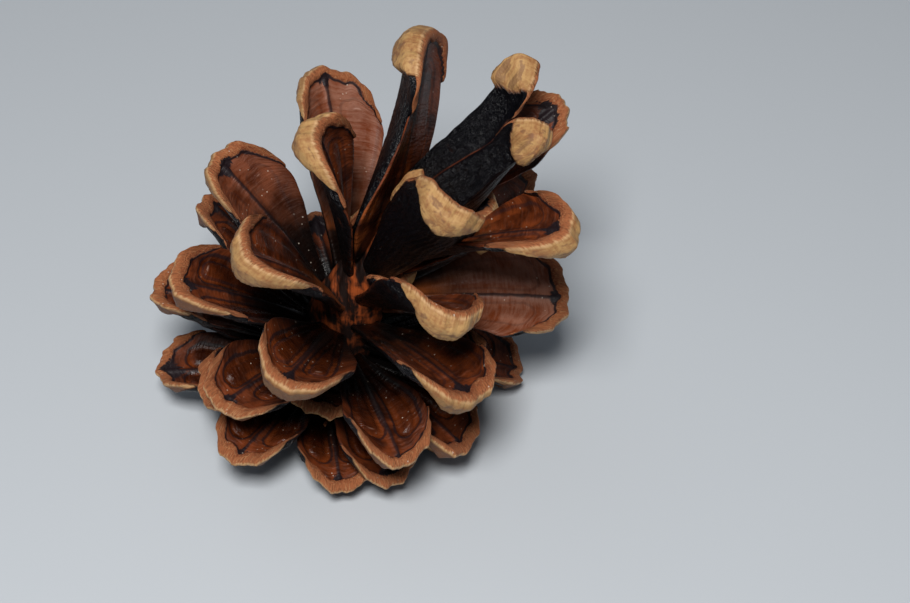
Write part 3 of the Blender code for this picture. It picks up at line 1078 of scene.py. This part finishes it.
@dataclass(frozen=True)
class ScaleFinish:
    """Seed scale wood: brown inner face, black seams, orange rim, pale outer face and a black fibrous back."""

    name: str = "scale_wood"
    blade_dark: Colour = (0.036, 0.007, 0.002)
    blade_warm: Colour = (0.165, 0.034, 0.008)
    blade_orange: Colour = (0.34, 0.085, 0.018)
    blade_pale: Colour = (0.27, 0.115, 0.072)
    rim: Colour = (0.235, 0.058, 0.020)
    rim_pale: Colour = (0.37, 0.126, 0.047)
    margin: Colour = (0.52, 0.31, 0.15)
    tan: Colour = (0.46, 0.270, 0.105)
    tan_dark: Colour = (0.28, 0.120, 0.044)
    outer_brown: Colour = (0.15, 0.055, 0.022)
    resin: Colour = (0.14, 0.060, 0.035)
    seam: Colour = (0.014, 0.008, 0.010)
    back: Colour = (0.0025, 0.0025, 0.004)
    back_brown: Colour = (0.09, 0.026, 0.010)
    # Painted highlight: the pale gloss on the seed nubs.
    nub: Colour = (0.50, 0.30, 0.23)
    speck: Colour = (0.80, 0.70, 0.58)
    seam_half_width: float = 0.10
    # Painted shade: the share of the colour that is left at the scales' roots.
    painted_root_shade: float = 0.03
    blade_roughness: float = 0.46
    imprint_polish: float = 0.20
    rim_roughness: float = 0.74
    outer_roughness: float = 0.52
    back_roughness: float = 0.30
    specular: float = 0.26
    bump_depth: float = 0.16 * MM

    def blade(self, tree: ScaleTree) -> Socket:
        """Colours the inner face: brown wood, dark seams round the seed wings' imprints, and a painted
        highlight on the seed nubs.

        Args:
            tree: The finish's nodes.

        Returns:
            The colour.
        """
        wing, wobble, marked = tree.wing, tree.wobble, tree.marked
        warm = tree.rise(tree.cloud, 0.32, 0.68)
        blade = tree.mix(warm, self.blade_dark, self.blade_warm)
        paleness = tree.rise(tree.ripple * 0.4 + tree.cloud * 0.6, 0.34, 0.62)
        unmarked = 1 - tree.rise(marked, 0.25, 0.5)
        paler = unmarked * (0.25 + 0.65 * tree.rise(tree.rank, 0.58, 0.64))
        blade = tree.mix(paler, blade, tree.mix(paleness, self.blade_warm, self.blade_pale))
        blade = tree.mix(tree.rise(tree.ripple, 0.50, 0.72) * 0.14, blade, self.blade_pale)
        ring = tree.line(wing, -0.36, 0.20, 0.15) * marked
        blade = tree.mix(ring * warm * 0.10, blade, self.blade_orange)
        blade = tree.mix(tree.rise(wing * -1.0, 0.75, 1.0) * marked * 0.5, blade, self.blade_dark)
        outer_seam = tree.line(wing + wobble * 0.4, 0.0, self.seam_half_width, 0.12)
        blade = tree.mix(outer_seam * (0.08 + 0.70 * marked), blade, self.seam)
        inner_seam = tree.line(wing + wobble * 0.3, -0.72, self.seam_half_width, 0.10) * marked
        blade = tree.mix(inner_seam * tree.rise(tree.own, 0.6, 0.8) * 0.6, blade, self.seam)
        middle = tree.line(tree.across + wobble * 0.3, 0.0, 0.10, 0.22) * tree.rise(tree.share, 0.2, 0.5)
        blade = tree.mix(middle * 0.85, blade, self.seam)
        # Painted highlight on the glossy seed nubs at the ends of the wing imprints.
        nub_highlight = tree.rise(wing * -1.0, 1.1, 1.35) * tree.rise(tree.nub, 0.2, 0.5)
        blade = tree.mix(nub_highlight * 0.6, blade, self.nub)
        return tree.mix(tree.rise(tree.patch + (tree.fibre - 0.5) * 2.2, 0.0, 0.25), blade, self.seam)

    def rim_wood(self, tree: ScaleTree) -> Socket:
        """Colours the rim: flecked orange-brown wood, paler at the outline, with a dark patch at its middle.

        Args:
            tree: The finish's nodes.

        Returns:
            The colour.
        """
        wood = tree.mix(tree.rise(tree.grain * 0.6 + tree.cloud * 0.4, 0.42, 0.62), self.rim, self.rim_pale)
        outline = 1 - tree.rise(tree.profile * -1.0 + (tree.stria - 0.5) * 1.2, -0.1, 0.75)
        wood = tree.mix(outline * 0.7, wood, self.rim_pale)
        wood = tree.mix(tree.rise(tree.flecks, 0.54, 0.64) * 0.55, wood, self.outer_brown)
        wood = tree.mix((1 - tree.rise(tree.flecks, 0.34, 0.44)) * 0.40, wood, self.margin)
        return tree.mix(tree.rise(tree.patch + (tree.fibre - 0.5) * 3.0, 0.15, 0.5), wood, self.seam)

    def outer_face(self, tree: ScaleTree) -> Socket:
        """Colours the outer face: streaked tan with a pale edge, browner on the lower scales.

        Args:
            tree: The finish's nodes.

        Returns:
            The colour.
        """
        profile, stria = tree.profile, tree.stria
        skin = tree.vector(tree.round, profile * 1.6, tree.shift)
        streaks = stria * 0.20 + tree.noise(skin, 1.6) * 0.35 + tree.noise(skin, 0.35, 2.0) * 0.45
        face = tree.mix(tree.rise(streaks, 0.34, 0.60), self.tan_dark, self.tan)
        face = tree.mix(tree.line(profile, 0.45, 0.10, 0.30) * tree.rise(stria, 0.30, 0.62), face, self.margin)
        browned = tree.rise(profile + tree.wobble * 0.6, 0.55, 1.1) * (1 - tree.rise(tree.rank, 0.45, 0.70))
        face = tree.mix(browned * 0.95, face, self.outer_brown)
        stains = tree.rise(tree.noise(skin, 0.75) + profile * 0.03, 0.60, 0.72) * (1 - tree.upper)
        return tree.mix(stains * 0.6, face, self.resin)

    def colour(self, tree: ScaleTree) -> Socket:
        """Lays the faces' colours beside each other, darkened towards the root by painted shade, with orange
        roots that are partly painted light, and dust.

        Args:
            tree: The finish's nodes.

        Returns:
            The base colour.
        """
        colour = tree.mix(tree.on_rim, self.blade(tree), self.rim_wood(tree))
        rim_seam = tree.line(tree.band, 0.52, 0.08, 0.16) * tree.upper
        colour = tree.mix(rim_seam * 0.95, colour, self.seam)
        colour = tree.mix(tree.on_face, colour, self.outer_face(tree))
        back = tree.mix(tree.rise(tree.cloud, 0.66, 0.84), self.back, self.back_brown)
        colour = tree.mix(tree.on_back, colour, back)
        # Painted shade: each scale's colour darkens towards its root, most on the lower scales, for the dark
        # between the scales.
        lit = tree.rise(tree.share + tree.rise(tree.rank, 0.50, 0.85) * 0.45, 0.42, 0.90)
        colour = colour * tree.between(lit, self.painted_root_shade, 1.0)
        # Orange wood near the upper scales' roots, laid on after the painted shade: partly the wood's own
        # colour and partly painted light falling in through the gaps.
        lit_orange = tree.rise(tree.noise(tree.even, 0.22, 1.0), 0.46, 0.66) * (1 - tree.rise(tree.share, 0.25, 0.50))
        lit_orange = lit_orange * tree.rise(tree.rank, 0.56, 0.68) * tree.upper
        colour = tree.mix(lit_orange * 0.7, colour, self.blade_orange)
        dust = (1 - tree.rise(tree.spots(tree.even, 1.4), 0.08, 0.13)) * tree.rise(tree.cloud, 0.50, 0.60)
        return tree.mix(dust * tree.upper * 0.55, colour, self.speck)

    def roughness(self, tree: ScaleTree) -> Socket:
        """Works out the roughness: polished imprints and backs, and dull rims.

        Args:
            tree: The finish's nodes.

        Returns:
            The roughness.
        """
        in_wing = 1 - tree.rise(tree.wing, -0.15, 0.1)
        blade = self.blade_roughness - self.imprint_polish * tree.marked * in_wing
        rough = tree.between(tree.on_rim, blade, self.rim_roughness)
        rough = tree.between(tree.on_face, rough, self.outer_roughness)
        return tree.between(tree.on_back, rough, self.back_roughness) + (tree.grain - 0.5) * 0.2

    def relief(self, tree: ScaleTree) -> Socket:
        """Works out the fine relief: rippled blades, pitted rims, striped outer faces and leathery backs.

        Args:
            tree: The finish's nodes.

        Returns:
            The height, in units of bump_depth.
        """
        grain, stria = tree.grain, tree.stria
        pits = tree.noise(tree.even, 9.0, 3.0, 0.7)
        leather = tree.noise(tree.vector(tree.along * 0.8, tree.across * 2.4, tree.shift), 1.2, 4.0, 0.7)
        rim = tree.flecks * -1.6 + grain * 0.5 + pits * 0.8
        height = tree.between(tree.on_rim, tree.ripple + grain * 0.35, rim)
        height = tree.between(tree.on_face, height, stria * 0.35 + grain * 0.6 + pits * 0.4)
        return tree.between(tree.on_back, height, tree.fibre * 2.0 + leather * 4.5)

    def material(self) -> bpy.types.Material:
        """Draws the finish from the numbers that each scale's mesh holds.

        Returns:
            The material.
        """
        tree = ScaleTree(self.name)
        tree.coat(self.colour(tree), self.roughness(tree), self.specular)
        tree.feed(tree.shader.inputs["Normal"], tree.raised(self.relief(tree), self.bump_depth))
        return tree.material


@dataclass(frozen=True)
class BarkFinish:
    """The axis: dull red-brown wood in long fibres, near-black towards the foot and the tip, where painted
    shade dims it.
    """

    name: str = "axis_bark"
    dark: Colour = (0.008, 0.003, 0.002)
    warm: Colour = (0.30, 0.062, 0.013)
    roughness: float = 0.7
    specular: float = 0.15
    warmest_height_mm: float = 20.0
    bump_depth: float = 0.3 * MM

    def material(self) -> bpy.types.Material:
        """Draws the bark in fibres along the axis, warmest among the upper scales' roots and darker above and
        below them as painted shade.

        Returns:
            The material.
        """
        tree = ShaderTree(self.name)
        along, across = tree.mark("along_mm"), tree.mark("across_mm")
        fibre = tree.noise(tree.vector(along * 0.3, across * 2.0, 0.0), 1.0, 4.0)
        cloud = tree.noise(tree.vector(along, across, 3.0), 0.5)
        patches = tree.rise(fibre * 0.3 + cloud * 0.7, 0.44, 0.62)
        # Painted shade: the warm patches fade away from the upper scales' roots, so the axis darkens deep in
        # the cone; by the roots they are partly the wood's own orange and partly painted light.
        warmth = patches * (0.4 + 0.6 * tree.line(along, self.warmest_height_mm, 3.0, 4.0))
        colour = tree.mix(warmth, self.dark, self.warm)
        tree.coat(colour, self.roughness + (fibre - 0.5) * 0.3, self.specular)
        tree.feed(tree.shader.inputs["Normal"], tree.raised(fibre, self.bump_depth))
        return tree.material


@dataclass(frozen=True)
class Studio:
    """The camera at the photograph's viewing angle, a pale floor, and soft light from overhead."""

    elevation: float = math.radians(46.57)
    distance: float = 250 * MM
    aim_height: float = 15.0 * MM
    aim_offset: Pair = (-12.75 * MM, -0.91 * MM)
    lens: float = 55.0
    sensor: float = 23.6
    floor_size: float = 3.0
    floor_colour: Colour = (0.505, 0.54, 0.575)
    floor_roughness: float = 0.9
    world_colour: Colour = (0.62, 0.70, 0.80)
    world_strength: float = 0.14
    key_place: Triple = (-0.01, -0.17, 0.32)
    key_size: float = 0.09
    key_power: float = 1.36
    key_colour: Colour = (1.0, 0.98, 0.96)
    back_place: Triple = (-0.22, 0.26, 0.36)
    back_size: float = 0.40
    back_power: float = 0.16
    back_colour: Colour = (0.92, 0.96, 1.0)
    lamp_aim: Triple = (5 * MM, 0.0, 20 * MM)

    def camera(self, axis: Axis) -> bpy.types.Object:
        """Puts the camera where the photograph was taken from.

        Args:
            axis: The cone's axis, which the camera is aimed at.

        Returns:
            The camera.
        """
        right = Vector((1, 0, 0))
        back = Vector((0, -math.cos(self.elevation), math.sin(self.elevation)))
        up = back.cross(right)
        target = axis.frame(self.aim_height).translation
        across, upwards = self.aim_offset
        eye = target - across * right - upwards * up + self.distance * back
        data = bpy.data.cameras.new("camera")
        data.lens = self.lens
        data.sensor_width = self.sensor
        data.sensor_fit = "HORIZONTAL"
        data.clip_start = 10 * MM
        thing = bpy.data.objects.new("camera", data)
        bpy.context.scene.collection.objects.link(thing)
        turn = Matrix((right, up, back)).transposed().to_4x4()
        thing.matrix_world = Matrix.Translation(eye) @ turn
        bpy.context.scene.camera = thing
        return thing

    def floor(self) -> bpy.types.Object:
        """Lays the plain floor.

        Returns:
            The floor.
        """
        bpy.ops.mesh.primitive_plane_add(size=self.floor_size, location=(0, 0, 0))
        thing = bpy.context.object
        thing.name = "floor"
        tree = ShaderTree("pale_floor")
        tree.feed(tree.shader.inputs["Base Color"], self.floor_colour)
        tree.feed(tree.shader.inputs["Roughness"], self.floor_roughness)
        thing.data.materials.append(tree.material)
        return thing

    def lamp(self, name: str, place: Triple, size: float, power: float, colour: Colour) -> None:
        """Adds one soft square lamp that faces the cone.

        Args:
            name: The lamp's name.
            place: Where it hangs.
            size: Its side.
            power: Its power in watts.
            colour: Its colour.
        """
        data = bpy.data.lights.new(name, "AREA")
        data.shape = "SQUARE"
        data.size = size
        data.energy = power
        data.color = colour
        thing = bpy.data.objects.new(name, data)
        bpy.context.scene.collection.objects.link(thing)
        turn = (Vector(place) - Vector(self.lamp_aim)).to_track_quat("Z", "Y").to_matrix().to_4x4()
        thing.matrix_world = Matrix.Translation(place) @ turn

    def light(self) -> None:
        """Adds even light from all round, the main lamp overhead and a weak one behind at the left."""
        world = bpy.data.worlds.new("studio")
        world.use_nodes = True
        background = world.node_tree.nodes["Background"]
        background.inputs["Color"].default_value = (*self.world_colour, 1.0)
        background.inputs["Strength"].default_value = self.world_strength
        bpy.context.scene.world = world
        self.lamp("key", self.key_place, self.key_size, self.key_power, self.key_colour)
        self.lamp("back", self.back_place, self.back_size, self.back_power, self.back_colour)

    def build(self, axis: Axis) -> None:
        """Makes everything round the cone.

        Args:
            axis: The cone's axis, which the camera is aimed at.
        """
        self.camera(axis)
        self.floor()
        self.light()
        bpy.context.scene.view_settings.view_transform = "Standard"


def dress(piece: bpy.types.Object) -> None:
    """Puts a finished piece in the part: it rides on its body and stands for the solid.

    Args:
        piece: The piece.
    """
    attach(piece, BODY)
    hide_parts(NODE)
    triangles = sum(len(face.vertices) - 2 for face in piece.data.polygons)
    log.info("%s: %d triangles", piece.name, triangles)


def main() -> None:
    """Builds the cone's pieces in order, and the studio round them."""
    logging.basicConfig(level=logging.INFO, format="%(message)s")
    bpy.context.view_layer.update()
    axis = Axis()
    spiral = Spiral(axis)
    draw = random.Random(SPIRAL_SEED)
    wood = ScaleFinish().material()
    dress(axis.build().to_object("axis", BarkFinish().material()))
    for piece in spiral.build(draw, wood):
        dress(piece)
    dress(BasalScales(spiral).build(draw, wood))
    Studio().build(axis)


if __name__ == "__main__":
    main()
